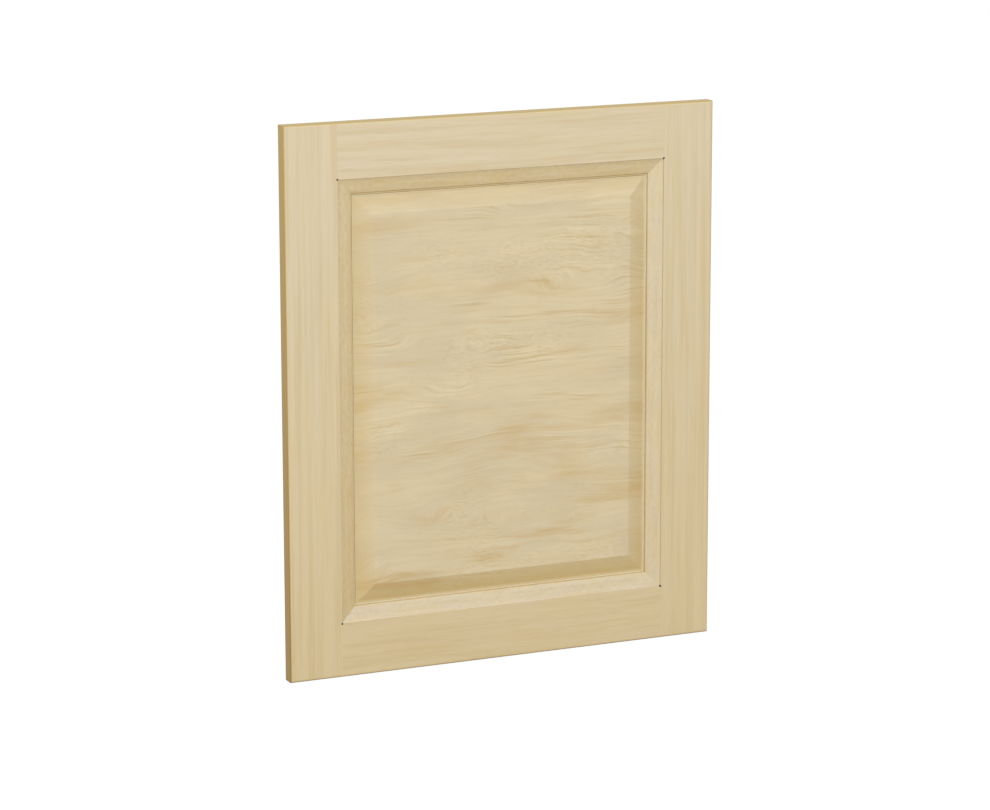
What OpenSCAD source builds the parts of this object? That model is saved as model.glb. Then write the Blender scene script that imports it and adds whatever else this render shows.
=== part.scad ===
// Kitchen cabinet door: a framed door with a raised panel, in millimetres.
// Two stiles run the full height and two rails sit between them, on stub tenons and dowels.
// Four mitred moulding strips line the opening, and the panel floats in the frame's groove.
// X is the width, Z is up and the front looks towards -Y.
// The origin is under the middle of the door, halfway through its thickness.
// Section profiles are drawn as (u, v): u runs inwards along the face, v runs back from the front.

/* [Door] */
// Overall width
door_w = 596; // [350:1:900]
// Overall height
door_h = 716; // [350:1:1300]
// Thickness of the frame
door_t = 20; // [19:0.5:24]
// Radius of the rounded front edge
front_round = 3; // [1:0.5:4]
// Radius of the eased back edge
back_round = 1; // [0.5:0.1:2]

/* [Frame] */
// Face width of a stile
stile_w = 71; // [62:1:100]
// Face width of a rail
rail_w = 71; // [62:1:120]
// Depth of the groove in the frame's inner edges
groove_depth = 12; // [10:0.5:14]
// Thickness of the lip behind the groove
lip_t = 3.8; // [3:0.1:4.5]
// Side clearance of a tenon in the groove
tenon_play = 0.05; // [0:0.05:0.2]
// Space left at the tip of a tenon
tenon_relief = 0.5; // [0.5:0.1:2]

/* [Dowels] */
// Diameter of a dowel
dowel_d = 8; // [6:0.5:10]
// Length of a dowel
dowel_len = 50; // [30:1:60]
// Chamfer at a dowel's ends
dowel_chamfer = 1; // [0.5:0.1:1.5]
// Number of glue flutes round a dowel
dowel_flutes = 10; // [6:1:16]
// Depth of a glue flute
flute_depth = 0.3; // [0.2:0.1:0.5]
// Radius of the tool that cuts a glue flute
flute_r = 0.6; // [0.5:0.1:1]
// Distance from the door's edge to the first dowel
dowel_edge = 18; // [12:1:20]
// Distance between the two dowels of a joint
dowel_pitch = 24; // [20:1:26]
// Clearance round a dowel
dowel_play = 0.1; // [0.05:0.05:0.2]
// Space for glue beyond a dowel's end
dowel_relief = 1; // [0.5:0.5:3]

/* [Moulding] */
// Width of a moulding strip
moulding_w = 22.2; // [20:0.1:24]
// Distance from the frame's face down to the strip's outer edge
moulding_step = 1.5; // [1:0.1:2]
// Fall of the sloped face
slope_drop = 4.8; // [4:0.1:5.5]
// Rise and dip of the slope's shallow S shape
ogee_sag = 0.35; // [0.2:0.05:0.5]
// Radius of the nose where the slope ends
nose_r = 1.6; // [1:0.1:2]
// Width of the bead along the inner edge
bead_w = 2.8; // [2:0.1:3.2]
// Height of the bead above the strip's back
bead_h = 2.2; // [1.8:0.1:2.6]
// Depth of the quirk between the nose and the bead, below the bead's crown
quirk_depth = 0.8; // [0.5:0.1:1]
// Diameter of the small hole left where the mitre meets the frame
corner_hole_d = 1.6; // [1:0.1:2]
// Depth of the small corner hole
corner_hole_depth = 8; // [4:0.5:9]

/* [Panel] */
// Distance from the frame's face down to the panel's field
field_setback = 2; // [1:0.1:3]
// Distance from the frame's back to the panel's back
back_setback = 2; // [1:0.1:3]
// Thickness of the tongue round the panel
tongue_t = 4; // [4:0.1:4.5]
// Clearance of the tongue from each side of the groove
tongue_play = 0.2; // [0.1:0.05:0.4]
// Gap between a moulding strip and the panel
panel_gap = 0.2; // [0.1:0.1:1]
// Width of the flat margin outside the bevel
margin_w = 2.7; // [2:0.1:4]
// Height of the margin above the tongue
margin_h = 2.4; // [2:0.1:3]
// Width of the bevel
bevel_w = 22; // [15:0.5:30]
// Distance from the opening's edge to the raised part of the panel's back
back_cut = 3; // [2:0.5:8]

/* [Panel spacers] */
// Diameter of a rubber spacer, which is also the gap round the panel
spacer_d = 4; // [3:0.1:4]
// Length of a rubber spacer
spacer_len = 15; // [8:1:25]
// Share of the opening between a corner and the nearest spacer
spacer_share = 0.25; // [0.15:0.05:0.4]

/* [Hinge cups] */
// Diameter of a hinge cup bore
cup_d = 35; // [26:1:35]
// Depth of a hinge cup bore
cup_depth = 12.5; // [10:0.5:13.5]
// Distance from the door's edge to the middle of a cup bore
cup_edge = 22.5; // [20.5:0.5:24]
// Distance from the door's top or bottom to the middle of a cup bore
cup_end = 100; // [90:1:160]
// Diameter of the two fixing holes beside a cup bore
fixing_d = 8; // [2.5:0.5:10]
// Depth of a fixing hole
fixing_depth = 11; // [8:0.5:13]
// Distance between the two fixing holes
fixing_spacing = 45; // [42:1:52]
// Distance from the cup's middle to the line of the fixing holes
fixing_offset = 9.5; // [5.5:0.5:11]

/* [Hidden] */
$fn = 48;
// Overshoot of a cutter past the face that it cuts
over = 1;
opening_w = door_w - 2 * stile_w;
opening_h = door_h - 2 * rail_w;
tongue_back = door_t - lip_t - tongue_play;
tongue_front = tongue_back - tongue_t;
groove_front = tongue_front - tongue_play;
groove_w = tongue_t + 2 * tongue_play;
tongue_reach = groove_depth - spacer_d;
tenon_len = groove_depth - tenon_relief;
slope_end = moulding_w - bead_w - nose_r;
nose_v = moulding_step + slope_drop;
bead_v = groove_front - bead_h;
margin_v = tongue_front - margin_h;
panel_back = door_t - back_setback;

// Colours: the frame, mouldings and panel are the same pale satin timber
frame_colour = "#d9c7a2";
moulding_colour = "#d2bb91";
panel_colour = "#d8c59f";
dowel_colour = "#c9a877";
rubber_colour = "#3a3a3a";

// Runs a (u, v) profile along Z, with u to the right of the given X
module along_z(x, length) {
    translate([x, -door_t / 2, 0]) linear_extrude(height = length) children();
}

// Runs a (u, v) profile along X, centred, with u upwards from the given Z
module along_x(z, length) {
    translate([0, -door_t / 2, z]) rotate([0, -90, 0])
        linear_extrude(height = length, center = true) children();
}

// What lies outside a quarter round in the corner of a square
module corner_waste(r) {
    difference() {
        translate([-over, -over]) square(r + over);
        translate([r, r]) circle(r);
    }
}

// Section of a stile or rail with its outer edge at u = 0: rounded at the front, eased at the back
module edge_section(w) {
    difference() {
        square([w, door_t]);
        corner_waste(front_round);
        translate([0, door_t]) mirror([0, 1]) corner_waste(back_round);
    }
}

// The same rounding at both ends of a long piece
module both_ends_section(length) {
    intersection() {
        edge_section(length);
        translate([length, 0]) mirror([1, 0]) edge_section(length);
    }
}

// Section of the panel groove, open at u = w
module groove_section(w) {
    translate([w - groove_depth, groove_front]) square([groove_depth + over, groove_w]);
}

// A stile or rail's section with its groove
module frame_section(w) {
    difference() {
        edge_section(w);
        groove_section(w);
    }
}

// Places what belongs to the bottom left corner at all four corners
module four_corners() {
    for (mx = [0, 1], mz = [0, 1])
        translate([0, 0, mz * door_h]) mirror([0, 0, mz]) mirror([mx, 0, 0]) children();
}

// Places a dowel or its hole, drawn along Z about its middle, at every joint between stile and rail
module dowel_places() {
    four_corners() for (z = [dowel_edge, dowel_edge + dowel_pitch])
        translate([-opening_w / 2, 0, z]) rotate([0, 90, 0]) children();
}

// Straight holes for the dowels
module dowel_holes() {
    dowel_places() cylinder(d = dowel_d + 2 * dowel_play, h = dowel_len + 2 * dowel_relief, center = true);
}

// A dowel with chamfered ends and straight glue flutes
module dowel() {
    r = dowel_d / 2;
    half = dowel_len / 2;
    intersection() {
        rotate_extrude() polygon([[0, -half], [r - dowel_chamfer, -half], [r, dowel_chamfer - half],
                                  [r, half - dowel_chamfer], [r - dowel_chamfer, half], [0, half]]);
        linear_extrude(height = dowel_len, center = true) difference() {
            circle(d = dowel_d + over);
            for (i = [1:dowel_flutes]) rotate(i * 360 / dowel_flutes)
                translate([r + flute_r - flute_depth, 0]) circle(r = flute_r);
        }
    }
}

// The small dark holes where the mitred mouldings meet the frame's corners
module corner_holes() {
    four_corners() translate([-opening_w / 2, -door_t / 2 + corner_hole_depth, rail_w])
        rotate([90, 0, 0]) cylinder(d = corner_hole_d, h = corner_hole_depth + over);
}

// A round hole in the back of the left stile, its middle at (u, z)
module back_hole(u, z, d, depth) {
    translate([u - door_w / 2, door_t / 2 - depth, z]) rotate([-90, 0, 0])
        cylinder(d = d, h = depth + over);
}

// The bores that a pair of concealed hinges needs
module hinge_bores() {
    for (z = [cup_end, door_h - cup_end]) {
        back_hole(cup_edge, z, cup_d, cup_depth);
        for (side = [-1, 1])
            back_hole(cup_edge + fixing_offset, z + side * fixing_spacing / 2, fixing_d, fixing_depth);
    }
}

module stile() {
    difference() {
        intersection() {
            along_z(-door_w / 2, door_h) frame_section(stile_w);
            along_x(0, 2 * door_w) both_ends_section(door_h);
        }
        dowel_holes();
        corner_holes();
    }
}

// Section of the stub tenon that fills the stile's groove beyond the panel
module tenon_section() {
    translate([0, groove_front + tenon_play])
        square([rail_w - groove_depth, groove_w - 2 * tenon_play]);
}

module rail() {
    difference() {
        union() {
            along_x(0, opening_w) frame_section(rail_w);
            along_x(0, opening_w + 2 * tenon_len) tenon_section();
        }
        dowel_holes();
        corner_holes();
    }
}

// A circle through two points whose arc stands off the chord by sag, on the chord's left side
module chord_circle(a, b, sag) {
    chord = norm(b - a);
    r = (chord * chord / 4 + sag * sag) / (2 * sag);
    across = [a[1] - b[1], b[0] - a[0]] / chord;
    translate((a + b) / 2 + across * (sag - r)) circle(r, $fn = 360);
}

// Section of a moulding strip: sloped face with a shallow S, round nose, quirk and bead
module moulding_section() {
    outer = [0, moulding_step];
    middle = [slope_end / 2, moulding_step + slope_drop / 2];
    inner = [slope_end, nose_v];
    nose_u = slope_end + nose_r;
    difference() {
        union() {
            polygon([outer, middle, inner, [nose_u, nose_v], [nose_u, groove_front], [0, groove_front]]);
            intersection() {
                chord_circle(inner, middle, ogee_sag);
                polygon([middle, inner, [slope_end, 0], [middle[0], 0]]);
            }
        }
        intersection() {
            chord_circle(outer, middle, ogee_sag);
            polygon([outer, middle, [middle[0], groove_front], [0, groove_front]]);
        }
        translate([nose_u, nose_v]) mirror([1, 0]) corner_waste(nose_r);
    }
    bead();
}

// Shallow round bead that stands on the strip's back
module bead() {
    bead_r = (bead_w * bead_w / 4 + quirk_depth * quirk_depth) / (2 * quirk_depth);
    translate([moulding_w - bead_w, bead_v]) {
        intersection() {
            translate([bead_w / 2, bead_r]) circle(bead_r);
            square([bead_w, quirk_depth]);
        }
        translate([0, quirk_depth]) square([bead_w, bead_h - quirk_depth]);
    }
}

// A strip along the left edge of an opening of the given height, with mitred ends
module mitred_strip(height) {
    w = moulding_w;
    intersection() {
        along_z(0, height) moulding_section();
        translate([0, door_t / 2, 0]) rotate([90, 0, 0]) linear_extrude(height = door_t)
            polygon([[0, 0], [w, w], [w, height - w], [0, height]]);
    }
}

module side_moulding() {
    difference() {
        translate([-opening_w / 2, 0, rail_w]) mitred_strip(opening_h);
        corner_holes();
    }
}

module end_moulding() {
    difference() {
        translate([opening_w / 2, 0, rail_w]) rotate([0, -90, 0]) mitred_strip(opening_w);
        corner_holes();
    }
}

// One side of the panel's outline, from its back to its field: back cut, tongue, margin and bevel
function panel_side(half) = [
    [half - back_cut, panel_back], [half - back_cut, tongue_back],
    [half + tongue_reach, tongue_back], [half + tongue_reach, tongue_front],
    [half - moulding_w - panel_gap, tongue_front], [half - moulding_w - panel_gap, margin_v],
    [half - moulding_w - panel_gap - margin_w, margin_v],
    [half - moulding_w - panel_gap - margin_w - bevel_w, field_setback]];

// The panel's section across an opening of the given width, centred on u = 0
module panel_section(opening) {
    right = panel_side(opening / 2);
    left = [for (i = [len(right) - 1:-1:0]) [-right[i][0], right[i][1]]];
    polygon(concat(right, left));
}

// A spacer lies in the groove between its floor and the panel's tongue
module spacer_section(opening) {
    translate([-opening / 2 - groove_depth + spacer_d / 2, groove_front + groove_w / 2])
        circle(d = spacer_d);
}

module stile_left() {
    color(frame_colour) difference() {
        stile();
        hinge_bores();
    }
}

module stile_right() {
    color(frame_colour) mirror([1, 0, 0]) stile();
}

module rail_bottom() {
    color(frame_colour) rail();
}

module rail_top() {
    color(frame_colour) translate([0, 0, door_h]) mirror([0, 0, 1]) rail();
}

module moulding_left() {
    color(moulding_colour) side_moulding();
}

module moulding_right() {
    color(moulding_colour) mirror([1, 0, 0]) side_moulding();
}

module moulding_bottom() {
    color(moulding_colour) end_moulding();
}

module moulding_top() {
    color(moulding_colour) translate([0, 0, door_h]) mirror([0, 0, 1]) end_moulding();
}

module panel() {
    color(panel_colour) intersection() {
        along_z(0, door_h) panel_section(opening_w);
        along_x(door_h / 2, door_w) panel_section(opening_h);
    }
}

module dowels() {
    color(dowel_colour) dowel_places() dowel();
}

module panel_spacers() {
    color(rubber_colour) for (side = [-1, 1], share = [spacer_share, 1 - spacer_share]) {
        scale([side, 1, 1])
            translate([0, 0, rail_w + share * opening_h - spacer_len / 2])
                along_z(0, spacer_len) spacer_section(opening_w);
        translate([(share - 0.5) * opening_w, 0, door_h / 2])
            mirror([0, 0, side > 0 ? 1 : 0]) along_x(0, spacer_len) spacer_section(opening_h);
    }
}

stile_left();
stile_right();
rail_top();
rail_bottom();
moulding_left();
moulding_right();
moulding_top();
moulding_bottom();
panel();
dowels();
panel_spacers();
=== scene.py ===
"""Kitchen cabinet door with a raised panel: the finish of its pieces, and the stage it stands on.

Metres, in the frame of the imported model: X is the width, Z is up and the front looks towards -Y.
"""

import math

import bmesh
import bpy
from bpy.props import FloatProperty, FloatVectorProperty, IntProperty, PointerProperty
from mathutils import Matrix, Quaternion, Vector


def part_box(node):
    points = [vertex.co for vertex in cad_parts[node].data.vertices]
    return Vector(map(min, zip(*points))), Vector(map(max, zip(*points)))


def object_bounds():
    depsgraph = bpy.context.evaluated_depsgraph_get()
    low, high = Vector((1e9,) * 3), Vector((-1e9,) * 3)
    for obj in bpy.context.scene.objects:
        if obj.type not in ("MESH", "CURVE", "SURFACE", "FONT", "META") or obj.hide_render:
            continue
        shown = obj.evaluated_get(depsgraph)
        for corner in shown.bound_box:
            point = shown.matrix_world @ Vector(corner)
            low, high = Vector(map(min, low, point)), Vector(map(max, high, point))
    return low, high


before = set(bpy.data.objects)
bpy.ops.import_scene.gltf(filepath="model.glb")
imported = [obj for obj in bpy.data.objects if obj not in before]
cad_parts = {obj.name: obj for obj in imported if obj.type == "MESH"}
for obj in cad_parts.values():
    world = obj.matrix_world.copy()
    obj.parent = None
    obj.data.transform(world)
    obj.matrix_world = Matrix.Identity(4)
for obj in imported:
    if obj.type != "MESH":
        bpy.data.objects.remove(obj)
cad_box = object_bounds()

bl_info = {
    "name": "Raised Panel Door",
    "version": (1, 0, 0),
    "blender": (4, 5, 0),
    "location": "View3D > Sidebar > Door",
    "description": "Finishes the pieces of a framed cabinet door and sets the stage for it",
    "category": "Object",
}

STILES = ("stile_left", "stile_right")
RAILS = ("rail_bottom", "rail_top")
# A moulding strip's grain; its shares of honey tone at the heights of the door's top and foot, which is
# painted shade, most on the strips that face away from the light; how strongly it is mottled; and how dark
# the painted shade shows where it meets the frame
STRIPS = {
    "moulding_left": {"grain": "Z", "top": 0.18, "foot": 0.48, "mottling": 1.0, "joint": 0.0},
    "moulding_right": {"grain": "Z", "top": 0.0, "foot": 0.13, "mottling": 0.6, "joint": 0.8},
    "moulding_bottom": {"grain": "X", "top": 0.0, "foot": 0.0, "mottling": 0.7, "joint": 0.0},
    "moulding_top": {"grain": "X", "top": 0.3, "foot": 0.3, "mottling": 0.9, "joint": 0.0},
}

# Lowest and highest corners of the opening that the mouldings line
OPENING = (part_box("moulding_left")[0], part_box("moulding_right")[1])
# Places in Y of the panel's raised field and of its margin, and the drop of the bevel between them
FIELD_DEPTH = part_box("panel")[0].y
BEVEL_DROP = 0.0076
MARGIN_DEPTH = FIELD_DEPTH + BEVEL_DROP
# Widths of a moulding strip and of the bead along its inner edge
STRIP_WIDTH = 0.0222
BEAD_WIDTH = 0.0028

# Distances over which the panel's tones change at its middle plane and at its field's edge, and how
# far in front of the field the tone of the slope starts
PLANE_CHANGE = 0.0001
CUT_CHANGE = 0.0002
SLOPE_LEAD = 0.001
# Where the painted light on the rim of the panel's margin fades, counted from the mouldings inwards
RIM_FADE = (0.0004, 0.0014)
# Where a strip's painted tones fade: its painted shade fades in from its outer edge, so that edge, which
# the frame's step shades, is painted lighter; its painted light fades out from the quirk's middle and on to
# the bead; and its painted shade fades down the bead's inner wall
LIP_FADE = (-0.001, 0.004)
QUIRK_FADE = (0.0002, 0.0007)
BEAD_FADE = (0.0004, 0.001)
WALL_DEPTH = 0.0002
# Shares of the door's height between which the painted shade of the lower bevel and the painted light of
# the upper bevel change
FOOT_FADE = (0.15, 0.25)
TOP_FADE = (0.75, 0.85)
# Reach of the painted shade in a corner hole, in radii
HOLE_REACH = 1.4

# Middle level of a noise, and the levels between which each kind of mark fades in
NOISE_MIDDLE = 0.5
HUE_FADE = (0.35, 0.65)
STREAK_FADE = (0.38, 0.75)
DASH_FADE = (0.58, 0.78)
FIBRE_FADE = (0.3, 0.7)
CLOUD_FADE = (0.36, 0.64)
PATCH_FADE = (0.52, 0.74)
BAND_FADE = (0.35, 0.75)
LINE_FADE = (0.57, 0.66)
ZONE_FADE = (0.45, 0.65)
EYE_FADE = (0.56, 0.82)
WAVY_FADE = (0.5, 0.66)
RIPPLE_FADE = (0.55, 0.7)
MOTTLE_FADE = (0.35, 0.75)
STRIP_CLOUD_FADE = (0.4, 0.7)
FLECK_FADE = (0.55, 0.75)
CELL_FADE = (0.4, 0.7)

# Offsets that give each piece of timber a figure of its own, and steps between like pieces
STILE_SEED = 3.1
RAIL_SEED = 11.4
FRAME_STEP = 2
STRIP_SEED = 21.7
STRIP_STEP = 3
PANEL_SEED = 33.3
# Offsets between the patterns of one piece
HUE_OFFSET = 4
CLOUD_OFFSET = 3
EYE_OFFSET = 5
WAVY_OFFSET = 8
STRIP_CLOUD_OFFSET = 9

# Gloss of all materials, and the least roughness of each with what its fine pattern adds to it
SPECULAR = 0.4
WOOD_ROUGHNESS = (0.46, 0.08)
DOWEL_ROUGHNESS = (0.6, 0.1)
RUBBER_ROUGHNESS = (0.75, 0.15)
# Width in pixels of the photograph that the camera matches
PHOTO_WIDTH = 990


def linear(text):
    """The linear colour of a hexadecimal screen colour such as #d9c7a2."""
    parts = [int(text[i:i + 2], 16) / 255 for i in (1, 3, 5)]
    return tuple(c / 12.92 if c <= 0.04045 else ((c + 0.055) / 1.055) ** 2.4 for c in parts)


def colour(name, description, text):
    """A colour property with its default written as a screen colour."""
    return FloatVectorProperty(
        name=name, description=description, subtype="COLOR", size=3, min=0, max=1, default=linear(text)
    )


def share(name, description, part):
    """A property from 0 to 1."""
    return FloatProperty(
        name=name, description=description, subtype="FACTOR", min=0, max=1, default=part
    )


def length(name, description, metres):
    """A length property with its default in metres."""
    return FloatProperty(
        name=name, description=description, unit="LENGTH", precision=4, min=0, default=metres
    )


def rate(name, description, count):
    """A property for how often a pattern changes in a metre."""
    return FloatProperty(name=name, description=description, min=0, default=count)


def rates(name, description, counts):
    """A property for how often a pattern changes in a metre, along the grain and across it."""
    return FloatVectorProperty(name=name, description=description, size=2, min=0, default=counts)


def power(name, description, watts):
    """A lamp's power, in watts."""
    return FloatProperty(name=name, description=description, unit="POWER", min=0, default=watts)


def place(name, description, point):
    """A property for a place in the row frame, in metres."""
    return FloatVectorProperty(
        name=name, description=description, subtype="XYZ", unit="LENGTH", size=3, default=point
    )


class Value:
    """A shader socket whose Python operators add Math nodes."""

    def __init__(self, shader, socket):
        self.shader = shader
        self.socket = socket

    def __add__(self, other):
        return self.shader.math("ADD", self, other)

    def __radd__(self, other):
        return self.shader.math("ADD", other, self)

    def __sub__(self, other):
        return self.shader.math("SUBTRACT", self, other)

    def __rsub__(self, other):
        return self.shader.math("SUBTRACT", other, self)

    def __mul__(self, other):
        return self.shader.math("MULTIPLY", self, other)

    def __rmul__(self, other):
        return self.shader.math("MULTIPLY", other, self)

    def __truediv__(self, other):
        return self.shader.math("DIVIDE", self, other)

    def __rtruediv__(self, other):
        return self.shader.math("DIVIDE", other, self)

    def between(self, low, high):
        """0 up to low and 1 from high on, with a smooth change between them."""
        return self.shader.node(
            "ShaderNodeMapRange",
            {"interpolation_type": "SMOOTHSTEP"},
            {"Value": self, "From Min": low, "From Max": high},
        )


class Shader:
    """The node tree of one material or world."""

    def __init__(self, owner):
        owner.use_nodes = True
        self.owner = owner
        self.tree = owner.node_tree
        self.tree.nodes.clear()

    def node(self, kind, settings=None, inputs=None, output=0):
        """Adds a node, makes its settings, feeds its inputs and gives one of its outputs."""
        made = self.tree.nodes.new(kind)
        for key, value in (settings or {}).items():
            setattr(made, key, value)
        for key, value in (inputs or {}).items():
            if isinstance(value, Value):
                self.tree.links.new(value.socket, made.inputs[key])
            else:
                made.inputs[key].default_value = value
        return Value(self, made.outputs[output]) if made.outputs else made

    def math(self, operation, *values):
        """One Math node on two values."""
        return self.node("ShaderNodeMath", {"operation": operation}, dict(enumerate(values)))

    def vector(self, x, y, z):
        """Three values as one vector."""
        return self.node("ShaderNodeCombineXYZ", {}, {"X": x, "Y": y, "Z": z})

    def noise(self, x, y, z, detail=2.0, roughness=0.5):
        """Noise from 0 to 1 at a point that is already scaled to the size of its features."""
        inputs = {"Vector": self.vector(x, y, z), "Scale": 1.0, "Detail": detail, "Roughness": roughness}
        return self.node("ShaderNodeTexNoise", {}, inputs)

    def grain_noise(self, pace, along, across, third, detail=2.0, roughness=0.5):
        """Noise with a pace along the grain and one across it; its third place is already scaled."""
        return self.noise(along * pace[0], across * pace[1], third, detail, roughness)

    def mix(self, share, first, second):
        """The first colour where share is 0 and the second where it is 1."""
        a, b = (c if isinstance(c, Value) else (*c, 1.0) for c in (first, second))
        return self.node("ShaderNodeMix", {"data_type": "RGBA"}, {0: share, 6: a, 7: b}, output=2)

    def grain_axes(self, grain):
        """Object coordinates as lengths along the grain, across it on the face, and into the wood."""
        place = self.node("ShaderNodeTexCoord", output="Object")
        x, y, z = (self.node("ShaderNodeSeparateXYZ", {}, {"Vector": place}, output=i) for i in range(3))
        return (x, z, y) if grain == "X" else (z, x, y)

    def inset(self, box):
        """Distances from a box's nearer side face, and from its nearer end face."""
        place = self.node("ShaderNodeTexCoord", output="Object")
        low = self.node("ShaderNodeVectorMath", {"operation": "SUBTRACT"}, {0: place, 1: tuple(box[0])})
        high = self.node("ShaderNodeVectorMath", {"operation": "SUBTRACT"}, {0: tuple(box[1]), 1: place})
        nearest = self.node("ShaderNodeVectorMath", {"operation": "MINIMUM"}, {0: low, 1: high})
        return [self.node("ShaderNodeSeparateXYZ", {}, {"Vector": nearest}, output=i) for i in (0, 2)]

    def near_edge(self, box, width):
        """1 at a box's edges as seen from the front, and 0 from a width inside them on."""
        return 1 - self.math("MINIMUM", *self.inset(box)).between(0, width)

    def from_opening(self):
        """Distance inwards from the nearest side of the opening that the mouldings line."""
        return self.math("MINIMUM", *self.inset(OPENING))

    def pinholes(self, radius):
        """1 in the small holes at the opening's four corners."""
        side, end = self.inset(OPENING)
        return 1 - self.math("SQRT", side * side + end * end).between(radius, HOLE_REACH * radius)

    def surface(self, base, roughness, pattern, relief):
        """Ends the material in a Principled shader, rougher and higher where its fine pattern is."""
        least, gain = roughness
        bump = self.node("ShaderNodeBump", {}, {"Strength": 1.0, "Distance": relief, "Height": pattern})
        inputs = {
            "Base Color": base,
            "Roughness": least + pattern * gain,
            "Normal": bump,
            "Specular IOR Level": SPECULAR,
        }
        shader = self.node("ShaderNodeBsdfPrincipled", {}, inputs)
        self.node("ShaderNodeOutputMaterial", {}, {"Surface": shader})
        return self.owner


def new_material(name):
    """The shader of a new material."""
    return Shader(bpy.data.materials.new(name))


def straight_wood(name, look, grain, seed, pace):
    """Straight-grained timber of a stile or rail: soft streaks, faint flushes and short dashes."""
    shader = new_material(name)
    along, across, into = shader.grain_axes(grain)
    height = (across if grain == "X" else along) / cad_box[1].z
    along = along * pace + seed
    deep = into * look.drift_rates[1]
    drift = shader.grain_noise(look.drift_rates, along, across, deep, detail=1) - NOISE_MIDDLE
    ring = across + into * look.lean + drift * look.drift
    hue = shader.noise(
        ring / look.flush_width, along * look.flush_rate, seed + HUE_OFFSET, detail=2, roughness=0.6
    )
    streaks = shader.noise(
        ring / look.streak_width, along * look.streak_rate, seed, detail=3, roughness=0.62
    )
    dashes = shader.noise(
        ring / look.dash_width, along * look.dash_rate, into / look.dash_width, detail=1
    )
    fibres = shader.noise(
        ring / look.fibre_width, along * look.fibre_rate, into / look.fibre_width, detail=1
    )
    base = shader.mix(hue.between(*HUE_FADE), look.cool, look.warm)
    # Darker, warmer towards the foot: partly the timber's tone, partly painted shade of the light falling
    # off down the door
    base = shader.mix((1 - height) * look.foot_honey_and_shade, base, look.honey)
    base = shader.mix(streaks.between(*STREAK_FADE) * look.streak_strength, base, look.dark)
    base = shader.mix(dashes.between(*DASH_FADE) * look.dash_strength, base, look.dark)
    base = shader.mix(fibres.between(*FIBRE_FADE) * look.fibre_strength, base, look.dark)
    base = shader.mix(shader.near_edge(cad_box, look.halo_width) * look.halo_strength, base, look.honey)
    # Painted shade: the outer edges' tone darkens towards the foot
    edge = shader.mix(height, look.edge_foot_shade, look.edge)
    base = shader.mix(shader.near_edge(cad_box, look.edge_width) * look.edge_strength, base, edge)
    arris = shader.near_edge(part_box(name), look.arris_width)
    base = shader.mix(arris * look.arris_strength, base, look.dark)
    # Painted shade: near black in the small corner holes
    base = shader.mix(shader.pinholes(look.pinhole_radius), base, look.pinhole_shade)
    return shader.surface(base, WOOD_ROUGHNESS, fibres, look.relief)


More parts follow.
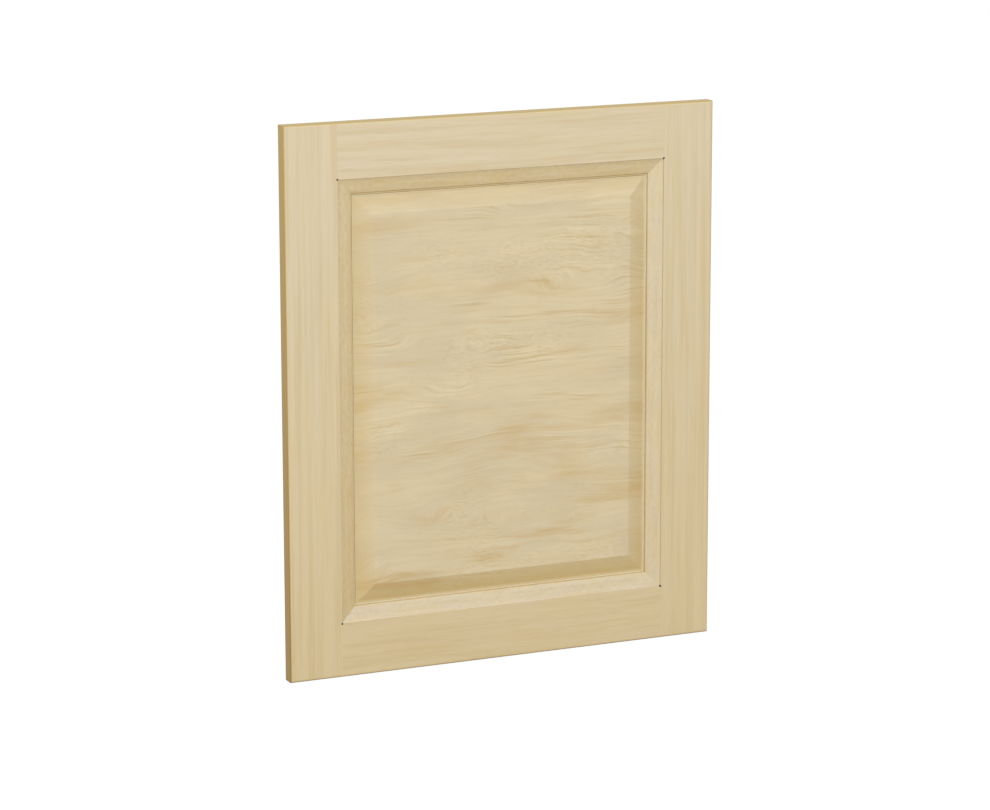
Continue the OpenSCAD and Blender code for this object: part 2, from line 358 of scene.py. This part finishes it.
def figured_wood(name, look, grain, seed):
    """Plain-sawn timber of the panel: clouds and warm patches, thin lines round eyes, and ripples."""
    shader = new_material(name)
    along, across, into = shader.grain_axes(grain)
    height = across / cad_box[1].z
    along = along + seed

    # Growth rings, bent by broad waves, small eyes and a finer sway
    swell = shader.grain_noise(look.swell_rates, along, across, seed, detail=1) - NOISE_MIDDLE
    eyes = shader.grain_noise(look.eye_rates, along, across, seed + EYE_OFFSET, detail=0)
    wavy = shader.grain_noise(look.wavy_rates, along, across, seed + WAVY_OFFSET, detail=1)
    wavy = wavy.between(*WAVY_FADE)
    deep = into * look.sway_depth_rate
    sway = shader.grain_noise(look.sway_rates, along, across, deep, detail=1) - NOISE_MIDDLE
    ring = across + into * look.lean + swell * look.swell + eyes.between(*EYE_FADE) * look.eye
    ring = ring + sway * (look.least_sway + wavy) * look.sway

    patches = shader.grain_noise(look.patch_rates, along, ring, seed, detail=4, roughness=0.6)
    clouds = shader.grain_noise(
        look.cloud_rates, along, ring, seed + CLOUD_OFFSET, detail=3, roughness=0.6
    )
    bands = shader.noise(ring / look.band_width, along * look.band_rate, seed, detail=3, roughness=0.6)
    lines = shader.noise(ring / look.line_width, along * look.line_rate, seed, detail=1)
    zones = shader.grain_noise(look.zone_rates, along, across, seed, detail=2)
    dashes = shader.noise(
        ring / look.dash_width, along * look.dash_rate, into / look.dash_width, detail=2
    )
    rise = along * look.ripple_rates[0] + across * look.ripple_slant
    ripple = shader.noise(rise, ring * look.ripple_rates[1], seed, detail=1)
    fibres = shader.noise(
        ring / look.fibre_width, along * look.fibre_rate, into / look.fibre_width, detail=1
    )

    base = shader.mix(clouds.between(*CLOUD_FADE), look.cool, look.warm)
    base = shader.mix((1 - clouds).between(*CLOUD_FADE) * look.cloud_strength, base, look.dark)
    patch = patches.between(*PATCH_FADE) * (look.patch_reach - height)
    base = shader.mix(patch * look.patch_strength, base, look.patch)
    base = shader.mix(bands.between(*BAND_FADE) * look.band_strength, base, look.dark)
    line_share = zones.between(*ZONE_FADE) * look.line_strength
    base = shader.mix(lines.between(*LINE_FADE) * line_share, base, look.dark)
    base = shader.mix((1 - lines).between(*LINE_FADE) * line_share, base, look.cream)
    base = shader.mix(dashes.between(*DASH_FADE) * look.dash_strength, base, look.dark)
    ripple_share = wavy * look.ripple_strength
    base = shader.mix(ripple.between(*RIPPLE_FADE) * ripple_share, base, look.dark)
    base = shader.mix((1 - ripple).between(*RIPPLE_FADE) * ripple_share, base, look.cream)
    base = shader.mix(fibres.between(*FIBRE_FADE) * look.fibre_strength, base, look.dark)

    # Honey tone of the bevel, on the front alone: the bevel's own tone where it cuts across the fibres,
    # growing towards the margin, partly its own tone and partly painted shade beside the moulding, with
    # more painted shade on the lower bevel and painted light on the upper one; and painted light on the
    # margin's rim beside the mouldings
    front = 1 - into.between(-PLANE_CHANGE, PLANE_CHANGE)
    slope = into.between(FIELD_DEPTH - SLOPE_LEAD, MARGIN_DEPTH)
    cut = into.between(FIELD_DEPTH, FIELD_DEPTH + CUT_CHANGE)
    foot = (1 - height.between(*FOOT_FADE)) * look.lower_bevel_shade
    top = height.between(*TOP_FADE) * look.upper_bevel_light
    honey = (slope * look.slope_tone_and_shade + cut * look.cut_strength) * (1 + foot - top) * front
    base = shader.mix(honey, base, look.honey)
    # Painted light: lifts the shade on the margin beside the mouldings
    rim = 1 - shader.from_opening().between(*(STRIP_WIDTH + reach for reach in RIM_FADE))
    base = shader.mix(rim * front * look.rim_light_strength, base, look.cream)
    return shader.surface(base, WOOD_ROUGHNESS, fibres, look.relief)


def strip_wood(name, look, seed, grain, top, foot, mottling, joint):
    """Timber of a moulding strip: mottling; painted light on the quirk and bead; painted shade as honey
    tone on the strips that face away from the light and on the bead's inner wall, and as a dark line where
    the right strip meets the frame.
    """
    shader = new_material(name)
    along, across, into = shader.grain_axes(grain)
    height = (across if grain == "X" else along) / cad_box[1].z
    along = along + seed
    ring = across + into * look.lean
    deep = into * look.mottle_rates[1]
    mottle = shader.grain_noise(look.mottle_rates, along, ring, deep, detail=3, roughness=0.65)
    clouds = shader.grain_noise(
        look.cloud_rates, along, ring, seed + STRIP_CLOUD_OFFSET, detail=3, roughness=0.6
    )
    streaks = shader.noise(along * look.streak_rate, ring / look.streak_width, seed, detail=3)
    hue = shader.grain_noise(look.hue_rates, along, ring, seed + HUE_OFFSET, detail=2)
    fibres = shader.noise(
        along * look.fibre_rate, ring / look.fibre_width, into / look.fibre_width, detail=1
    )

    lip = shader.from_opening()
    bead = lip - (STRIP_WIDTH - BEAD_WIDTH)
    quirk = bead.between(-QUIRK_FADE[1], -QUIRK_FADE[0]) * (1 - bead.between(*QUIRK_FADE))
    wall = bead.between(BEAD_WIDTH - WALL_DEPTH, BEAD_WIDTH)
    # Painted shade: honey tone on the strips that face away from the light, on some rising towards the foot
    honey = height * (top - foot) + foot

    base = shader.mix(hue.between(*HUE_FADE), look.cool, look.warm)
    # The painted shade fades in from the strip's outer edge, so that edge, which the frame's step shades,
    # is painted lighter
    base = shader.mix(honey * lip.between(*LIP_FADE), base, look.honey)
    cloud = clouds.between(*STRIP_CLOUD_FADE) * look.cloud_strength * mottling
    base = shader.mix(cloud, base, look.dark)
    base = shader.mix(streaks.between(*STREAK_FADE) * look.streak_strength, base, look.dark)
    mottled = mottle.between(*MOTTLE_FADE) * look.mottle_strength * mottling
    base = shader.mix(mottled, base, look.dark)
    # Painted shade: a dark line along the strip's outer edge where it meets the frame, strongest on the
    # right strip
    base = shader.mix((1 - lip.between(0, look.joint_width)) * joint, base, look.dark)
    # Painted light: pale tones on the bead and in the quirk lift the shade of these hollows; weaker on the
    # right strip
    base = shader.mix(bead.between(*BEAD_FADE) * look.bead_light_strength, base, look.cream)
    base = shader.mix(quirk * look.quirk_light_strength * (1 - joint), base, look.quirk)
    # Painted shade: honey tone on the bead's inner wall, where it is shaded
    base = shader.mix(wall * look.wall_shade_strength, base, look.honey)
    # Painted shade: near black in the small corner holes
    base = shader.mix(shader.pinholes(look.pinhole_radius), base, look.pinhole_shade)
    return shader.surface(base, WOOD_ROUGHNESS, fibres, look.relief)


def dowel_wood(name, look):
    """Plain beech of the dowels, with short dark flecks."""
    shader = new_material(name)
    along, across, into = shader.grain_axes("X")
    fleck = shader.grain_noise(look.fleck_rates, along, across, into * look.fleck_rates[1], detail=1)
    dark = tuple(look.fleck_shade * part for part in look.dowel)
    base = shader.mix(fleck.between(*FLECK_FADE) * look.fleck_strength, tuple(look.dowel), dark)
    return shader.surface(base, DOWEL_ROUGHNESS, fleck, look.dowel_relief)


def spacer_rubber(name, look):
    """Dull foamed rubber of the panel spacers."""
    shader = new_material(name)
    x, y, z = (axis * look.cell_rate for axis in shader.grain_axes("X"))
    cells = shader.noise(x, y, z, detail=1)
    light = tuple(look.cell_gain * part for part in look.rubber)
    base = shader.mix(cells.between(*CELL_FADE), tuple(look.rubber), light)
    return shader.surface(base, RUBBER_ROUGHNESS, cells, look.rubber_relief)


def finish_node(name, material):
    """Gives a node of the frame its material."""
    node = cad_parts[name]
    for slot in node.material_slots:
        slot.material = material


class FrameWoodSettings(bpy.types.PropertyGroup):
    """Timber of the stiles and rails"""

    warm: colour("Warm tone", "Warmer of the two soft tones", "#d8c7a9")
    cool: colour("Cool tone", "Cooler of the two soft tones", "#d7c8ae")
    # Honey tone towards the foot is partly the timber's tone and partly painted shade; it is also the tone
    # at the outer edges
    honey: colour("Honey tone", "Tone that the timber takes on towards the foot", "#d2b880")
    foot_honey_and_shade: share("Honey strength", "Strength of the honey tone at the foot", 0.38)
    dark: colour("Dark tone", "Colour of the streaks, dashes and fibres", "#bda16a")
    edge: colour("Edge", "Tone of the outer edges", "#b29751")
    # Painted shade: tone of the outer edges low down
    edge_foot_shade: colour("Edge at the foot", "Tone of the outer edges low down", "#886208")
    edge_strength: share("Edge strength", "Strength of the edges' tone", 0.95)
    edge_width: length("Edge width", "How far the tone reaches over a rounded edge", 0.0022)
    halo_width: length("Halo width", "How far the honey tone reaches in from the outer edges", 0.007)
    halo_strength: share("Halo strength", "Strength of the honey tone at the outer edges", 0.35)
    arris_width: length("Arris width", "How far the dark tone reaches over a sharp arris", 0.0002)
    arris_strength: share("Arris strength", "Strength of the dark tone on a sharp arris", 0.3)
    # Painted shade of the small corner holes
    pinhole_shade: colour("Pinhole", "Colour inside the small corner holes", "#120c08")
    pinhole_radius: length("Pinhole radius", "Radius of a small corner hole", 0.0011)
    lean: share("Lean", "How far the rings shift sideways with depth", 0.6)
    drift: length("Drift", "How far the streaks wander sideways", 0.012)
    drift_rates: rates("Drift rates", "Changes of the drift in a metre", (2.5, 9))
    stile_pace: share("Stile pace", "How fast the figure changes up a stile", 0.55)
    rail_pace: share("Rail pace", "How fast the figure changes along a rail", 1.0)
    flush_width: length("Flush width", "Width of a soft flush", 0.018)
    flush_rate: rate("Flush rate", "Changes of the flushes in a metre", 10)
    streak_width: length("Streak width", "Width of a soft streak", 0.0075)
    streak_rate: rate("Streak rate", "Changes of the streaks in a metre", 5)
    streak_strength: share("Streak strength", "Darkness of the streaks", 0.32)
    dash_width: length("Dash width", "Width of a short dash", 0.0016)
    dash_rate: rate("Dash rate", "Changes of the dashes in a metre", 40)
    dash_strength: share("Dash strength", "Darkness of the dashes", 0.2)
    fibre_width: length("Fibre width", "Width of a fine fibre", 0.0008)
    fibre_rate: rate("Fibre rate", "Changes of the fibres in a metre", 25)
    fibre_strength: share("Fibre strength", "Darkness of the fibres", 0.1)
    relief: length("Relief", "Height of the fibres' relief", 0.00001)


class PanelWoodSettings(bpy.types.PropertyGroup):
    """Timber of the raised panel"""

    warm: colour("Warm tone", "Warmer of the two soft tones", "#d8c7a6")
    cool: colour("Cool tone", "Cooler of the two soft tones", "#d5c6aa")
    cream: colour("Cream", "Colour of the pale lines", "#e3d5b6")
    patch: colour("Patch", "Colour of the warm patches", "#c3a26a")
    dark: colour("Dark tone", "Colour of the growth lines", "#ba9b62")
    honey: colour("Honey", "Tone of the bevel, where it cuts across the fibres", "#c4a662")
    # The honey tone's growth towards the bevel's foot is partly the bevel's own tone and partly painted
    # shade; the lower bevel, facing down, takes more painted shade, the upper, facing up, painted light
    slope_tone_and_shade: share("Slope strength", "Strength of the honey tone at the bevel's foot", 0.2)
    cut_strength: share("Cut strength", "Strength of the honey tone all over the bevel", 0.14)
    lower_bevel_shade: share("Foot gain", "How much stronger the honey tone is on the lower bevel", 0.7)
    upper_bevel_light: share("Top loss", "How much weaker the honey tone is on the upper bevel", 0.3)
    lean: share("Lean", "How far the rings shift sideways with depth", 0.5)
    swell: length("Swell", "Size of the broad waves in the growth lines", 0.03)
    swell_rates: rates("Swell rates", "Changes of the broad waves in a metre", (4.5, 9))
    eye: length("Eye", "Size of the small eyes in the growth lines", 0.014)
    eye_rates: rates("Eye rates", "Changes of the eyes in a metre", (6.5, 19))
    sway: length("Sway", "Size of the small waves in the growth lines", 0.01)
    sway_rates: rates("Sway rates", "Changes of the small waves in a metre", (30, 50))
    sway_depth_rate: rate("Sway depth rate", "Changes of the small waves in a metre of depth", 20)
    least_sway: share("Least sway", "Strength of the small waves outside the wavy places", 0.15)
    wavy_rates: rates("Wavy rates", "Changes in a metre between wavy and calm places", (7, 11))
    band_width: length("Band width", "Width of a broad growth band", 0.005)
    band_rate: rate("Band rate", "Changes of the bands in a metre", 7)
    band_strength: share("Band strength", "Darkness of the bands", 0.16)
    line_width: length("Line width", "Width of a thin growth line", 0.0024)
    line_rate: rate("Line rate", "Changes of the thin lines in a metre", 11)
    line_strength: share("Line strength", "Strength of the thin lines", 0.4)
    zone_rates: rates("Zone rates", "Changes in a metre between places with and without lines", (9, 32))
    dash_width: length("Dash width", "Width of a short dash", 0.0016)
    dash_rate: rate("Dash rate", "Changes of the dashes in a metre", 90)
    dash_strength: share("Dash strength", "Darkness of the dashes", 0.22)
    cloud_rates: rates("Cloud rates", "Changes of the broad clouds in a metre", (8, 20))
    cloud_strength: share("Cloud strength", "Darkness of the broad clouds", 0.14)
    patch_rates: rates("Patch rates", "Changes of the warm patches in a metre", (6, 30))
    patch_strength: share("Patch strength", "Strength of the warm patches", 0.62)
    patch_reach: FloatProperty(
        name="Patch reach", description="Height where the patches end, as a part of the door's", default=1.3
    )
    # Painted light on the margin beside the mouldings
    rim_light_strength: share("Rim", "Paleness of the margin's rim beside the mouldings", 0.5)
    ripple_rates: rates("Ripple rates", "Changes of the ripples in a metre", (130, 420))
    ripple_slant: rate("Ripple slant", "Further changes of the ripples in a metre up the door", 110)
    ripple_strength: share("Ripple", "Strength of the local ripples", 0.2)
    fibre_width: length("Fibre width", "Width of a fine fibre", 0.0008)
    fibre_rate: rate("Fibre rate", "Changes of the fibres in a metre", 60)
    fibre_strength: share("Fibre strength", "Darkness of the fibres", 0.05)
    relief: length("Relief", "Height of the fibres' relief", 0.00001)


class StripWoodSettings(bpy.types.PropertyGroup):
    """Timber of the moulding strips"""

    warm: colour("Warm tone", "Warmer of the two soft tones", "#d9c8a8")
    cool: colour("Cool tone", "Cooler of the two soft tones", "#d6c7ad")
    # Painted shade: honey tone on the strips that face away from the light and on the bead's inner wall
    honey: colour("Honey tone", "Tone that the darker strips have a share of", "#c8ac6e")
    dark: colour("Dark tone", "Colour of the streaks and mottling", "#ba9b5e")
    # Painted shade: width of the dark line where a strip meets the frame
    joint_width: length("Joint width", "Width of the dark line at a strip's joint", 0.0008)
    # Painted shade of the small corner holes
    pinhole_shade: colour("Pinhole", "Colour inside the small corner holes", "#120c08")
    pinhole_radius: length("Pinhole radius", "Radius of a small corner hole", 0.0011)
    lean: share("Lean", "How far the rings shift sideways with depth", 0.4)
    hue_rates: rates("Hue rates", "Changes between the two soft tones in a metre", (30, 80))
    streak_width: length("Streak width", "Width of a short streak", 0.004)
    streak_rate: rate("Streak rate", "Changes of the streaks in a metre", 12)
    streak_strength: share("Streak strength", "Darkness of the streaks", 0.2)
    mottle_rates: rates("Mottle rates", "Changes of the mottling in a metre", (150, 260))
    mottle_strength: share("Mottle", "Darkness of the mottling", 0.3)
    cloud_rates: rates("Cloud rates", "Changes of the broad clouds in a metre", (22, 60))
    cloud_strength: share("Cloud strength", "Darkness of the broad clouds", 0.12)
    # Painted light: the bead's cream and the quirk's pale tone lift the shade in these hollows
    cream: colour("Cream", "Colour of the bead", "#ecd9a8")
    bead_light_strength: share("Bead", "Paleness of the bead", 0.2)
    quirk: colour("Quirk", "Tone of the quirk, the narrow groove beside the bead", "#e8d3a0")
    quirk_light_strength: share("Quirk strength", "Strength of the quirk's tone", 0.55)
    # Painted shade on the bead's inner wall
    wall_shade_strength: share("Wall strength", "Strength of the honey tone on the bead's inner wall", 0.8)
    fibre_width: length("Fibre width", "Width of a fine fibre", 0.0008)
    fibre_rate: rate("Fibre rate", "Changes of the fibres in a metre", 60)
    relief: length("Relief", "Height of the fibres' relief", 0.00001)


class HiddenSettings(bpy.types.PropertyGroup):
    """Pieces inside the joints"""

    dowel: colour("Dowel", "Colour of the dowels", "#c9a877")
    fleck_rates: rates("Fleck rates", "Changes of the dowels' flecks in a metre", (300, 1800))
    fleck_shade: share("Fleck shade", "Colour of a fleck as a share of the dowel's", 0.6)
    fleck_strength: share("Fleck strength", "Strength of the flecks", 0.6)
    dowel_relief: length("Dowel relief", "Height of the flecks' relief", 0.00003)
    rubber: colour("Rubber", "Colour of the panel spacers", "#3a3a3a")
    cell_rate: rate("Cell rate", "Changes of the rubber's cells in a metre", 2200)
    cell_gain: FloatProperty(
        name="Cell gain", description="Colour of a cell as a multiple of the rubber's", default=1.5
    )
    rubber_relief: length("Rubber relief", "Height of the cells' relief", 0.00008)


class StageSettings(bpy.types.PropertyGroup):
    """Floor, light and camera"""

    camera_place: place("Camera place", "Where the camera stands", (-1.835, -4.153, 1.319))
    camera_turn: FloatProperty(
        name="Camera turn", description="Turn to the right from straight ahead", subtype="ANGLE",
        default=math.radians(23.74)
    )
    camera_dip: FloatProperty(
        name="Camera dip", description="Angle below the horizon", subtype="ANGLE",
        default=math.radians(12.22)
    )
    camera_roll: FloatProperty(
        name="Camera roll", description="Turn about the line of sight", subtype="ANGLE",
        default=math.radians(-0.10)
    )
    focal_pixels: IntProperty(
        name="Focal length in pixels", description="At the photograph's width", default=3595
    )
    floor_size: length("Floor size", "Side of the square floor", 40.0)
    floor_tone: colour("Floor", "Colour of the floor as its light falls on the door", "#b8ab88")
    floor_glow: FloatProperty(
        name="Floor glow", description="How far the seen floor is lifted towards white", default=0.875
    )
    shadow_share: share("Shadow share", "How much of the light and shadow the seen floor keeps", 0.15)
    ambient: FloatProperty(name="Ambient", description="Strength of the even light", default=0.9)
    key_place: place("Key light", "Middle of the large light at the front left", (-3.4, -6.0, 2.9))
    key_size: length("Key size", "Side of the square key light", 2.5)
    key_power: power("Key power", "Power of the key light", 220)
    key_tone: colour("Key tone", "Colour of the key light", "#e7f3ff")
    top_place: place("Top light", "Middle of the light above the front", (0.0, -1.3, 1.9))
    top_size: length("Top size", "Side of the square top light", 1.0)
    top_power: power("Top power", "Power of the top light", 4)
    top_tone: colour("Top tone", "Colour of the top light", "#e7f3ff")


class DoorSettings(bpy.types.PropertyGroup):
    """All settings of the door"""

    frame_wood: PointerProperty(type=FrameWoodSettings)
    panel_wood: PointerProperty(type=PanelWoodSettings)
    strip_wood: PointerProperty(type=StripWoodSettings)
    hidden: PointerProperty(type=HiddenSettings)
    stage: PointerProperty(type=StageSettings)


class DOOR_OT_stiles(bpy.types.Operator):
    """Finish the two stiles, with the grain running up"""

    bl_idname = "door.stiles"
    bl_label = "Stiles"

    def execute(self, context):
        look = context.scene.door.frame_wood
        for count, name in enumerate(STILES):
            seed = STILE_SEED + FRAME_STEP * count
            finish_node(name, straight_wood(name, look, "Z", seed, look.stile_pace))
        return {"FINISHED"}


class DOOR_OT_rails(bpy.types.Operator):
    """Finish the two rails, with the grain running across"""

    bl_idname = "door.rails"
    bl_label = "Rails"

    def execute(self, context):
        look = context.scene.door.frame_wood
        for count, name in enumerate(RAILS):
            seed = RAIL_SEED + FRAME_STEP * count
            finish_node(name, straight_wood(name, look, "X", seed, look.rail_pace))
        return {"FINISHED"}


class DOOR_OT_mouldings(bpy.types.Operator):
    """Finish the four moulding strips"""

    bl_idname = "door.mouldings"
    bl_label = "Mouldings"

    def execute(self, context):
        look = context.scene.door.strip_wood
        for count, (name, timber) in enumerate(STRIPS.items()):
            finish_node(name, strip_wood(name, look, STRIP_SEED + STRIP_STEP * count, **timber))
        return {"FINISHED"}


class DOOR_OT_panel(bpy.types.Operator):
    """Finish the raised panel, with the grain running across"""

    bl_idname = "door.panel"
    bl_label = "Panel"

    def execute(self, context):
        finish_node("panel", figured_wood("panel", context.scene.door.panel_wood, "X", PANEL_SEED))
        return {"FINISHED"}


class DOOR_OT_joints(bpy.types.Operator):
    """Finish the dowels and panel spacers inside the frame"""

    bl_idname = "door.joints"
    bl_label = "Dowels and spacers"

    def execute(self, context):
        look = context.scene.door.hidden
        finish_node("dowels", dowel_wood("dowels", look))
        finish_node("panel_spacers", spacer_rubber("panel_spacers", look))
        return {"FINISHED"}


def white_for_sight(shader):
    """1 on rays from the camera and on those that gloss or glass passes on, else 0."""
    rays = [
        shader.node("ShaderNodeLightPath", output=name)
        for name in ("Is Camera Ray", "Is Glossy Ray", "Is Transmission Ray")
    ]
    return shader.math("MINIMUM", rays[0] + rays[1] + rays[2], 1.0)


def floor_material(look):
    """A pale floor that the camera sees as white, with a faint shadow of the door left in it."""
    shader = new_material("floor")
    diffuse = shader.node("ShaderNodeBsdfDiffuse", {}, {"Color": (*look.floor_tone, 1)})
    faint = (look.shadow_share, look.shadow_share, look.shadow_share, 1)
    shaded = shader.node("ShaderNodeBsdfDiffuse", {}, {"Color": faint})
    glow = shader.node("ShaderNodeEmission", {}, {"Color": (1, 1, 1, 1), "Strength": look.floor_glow})
    lifted = shader.node("ShaderNodeAddShader", {}, {0: shaded, 1: glow})
    seen = white_for_sight(shader)
    shown = shader.node("ShaderNodeMixShader", {}, {0: seen, 1: diffuse, 2: lifted})
    shader.node("ShaderNodeOutputMaterial", {}, {"Surface": shown})
    return shader.owner


class DOOR_OT_stage(bpy.types.Operator):
    """Lay the floor, light the door and stand the camera in front of it"""

    bl_idname = "door.stage"
    bl_label = "Stage"

    def execute(self, context):
        look = context.scene.door.stage
        self.lay_floor(look)
        self.set_world(context.scene, look)
        self.hang_lamp(
            context.scene, "key", look.key_place, look.key_size, look.key_power, look.key_tone
        )
        self.hang_lamp(
            context.scene, "top", look.top_place, look.top_size, look.top_power, look.top_tone
        )
        self.place_camera(context.scene, look)
        context.scene.view_settings.view_transform = "Standard"
        return {"FINISHED"}

    def lay_floor(self, look):
        """Lays the square floor under the door."""
        bm = bmesh.new()
        bmesh.ops.create_grid(bm, x_segments=1, y_segments=1, size=look.floor_size / 2)
        mesh = bpy.data.meshes.new("floor")
        bm.to_mesh(mesh)
        bm.free()
        floor = bpy.data.objects.new("floor", mesh)
        bpy.context.scene.collection.objects.link(floor)
        mesh.materials.append(floor_material(look))

    def set_world(self, scene, look):
        """Sets the even light from all round, which the camera sees as white."""
        world = bpy.data.worlds.new("studio")
        scene.world = world
        shader = Shader(world)
        seen = white_for_sight(shader)
        strength = look.ambient + seen * (1 - look.ambient)
        back = shader.node("ShaderNodeBackground", {}, {"Color": (1, 1, 1, 1), "Strength": strength})
        shader.node("ShaderNodeOutputWorld", {}, {"Surface": back})

    def hang_lamp(self, scene, name, point, size, power, tone):
        """Hangs a square lamp that shines at the door's middle."""
        data = bpy.data.lights.new(name, "AREA")
        data.shape = "SQUARE"
        data.size = size
        data.energy = power
        data.color = tone
        lamp = bpy.data.objects.new(name, data)
        lamp.location = point
        middle = (cad_box[0] + cad_box[1]) / 2
        lamp.rotation_mode = "QUATERNION"
        lamp.rotation_quaternion = (middle - Vector(point)).to_track_quat("-Z", "Y")
        scene.collection.objects.link(lamp)

    def place_camera(self, scene, look):
        """Stands the camera where the photograph was taken from."""
        data = bpy.data.cameras.new("camera")
        data.sensor_fit = "HORIZONTAL"
        data.lens = data.sensor_width * look.focal_pixels / PHOTO_WIDTH
        camera = bpy.data.objects.new("camera", data)
        sight = Vector((
            math.sin(look.camera_turn) * math.cos(look.camera_dip),
            math.cos(look.camera_turn) * math.cos(look.camera_dip),
            -math.sin(look.camera_dip),
        ))
        camera.location = look.camera_place
        camera.rotation_mode = "QUATERNION"
        roll = Quaternion((0, 0, 1), look.camera_roll)
        camera.rotation_quaternion = sight.to_track_quat("-Z", "Y") @ roll
        scene.collection.objects.link(camera)
        scene.camera = camera


class DOOR_PT_sidebar(bpy.types.Panel):
    """Lists the door's operators and settings"""

    bl_idname = "DOOR_PT_sidebar"
    bl_label = "Raised panel door"
    bl_space_type = "VIEW_3D"
    bl_region_type = "UI"
    bl_category = "Door"

    def draw(self, context):
        """Draws a button for each operator and a box for each group of settings."""
        for operator in OPERATORS:
            self.layout.operator(operator.bl_idname)
        settings = context.scene.door
        for group in (settings.frame_wood, settings.panel_wood, settings.strip_wood,
                      settings.hidden, settings.stage):
            box = self.layout.box()
            for name in group.__annotations__:
                box.prop(group, name)


OPERATORS = (
    DOOR_OT_stiles,
    DOOR_OT_rails,
    DOOR_OT_mouldings,
    DOOR_OT_panel,
    DOOR_OT_joints,
    DOOR_OT_stage,
)
CLASSES = (
    FrameWoodSettings,
    PanelWoodSettings,
    StripWoodSettings,
    HiddenSettings,
    StageSettings,
    DoorSettings,
    *OPERATORS,
    DOOR_PT_sidebar,
)


def register():
    """Registers the add-on's classes and its settings."""
    for item in CLASSES:
        bpy.utils.register_class(item)
    bpy.types.Scene.door = PointerProperty(type=DoorSettings)


def unregister():
    """Takes away what register added."""
    del bpy.types.Scene.door
    for item in reversed(CLASSES):
        bpy.utils.unregister_class(item)


def main():
    """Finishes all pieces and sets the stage."""
    register()
    bpy.ops.door.stiles()
    bpy.ops.door.rails()
    bpy.ops.door.mouldings()
    bpy.ops.door.panel()
    bpy.ops.door.joints()
    bpy.ops.door.stage()


if __name__ == "__main__":
    main()
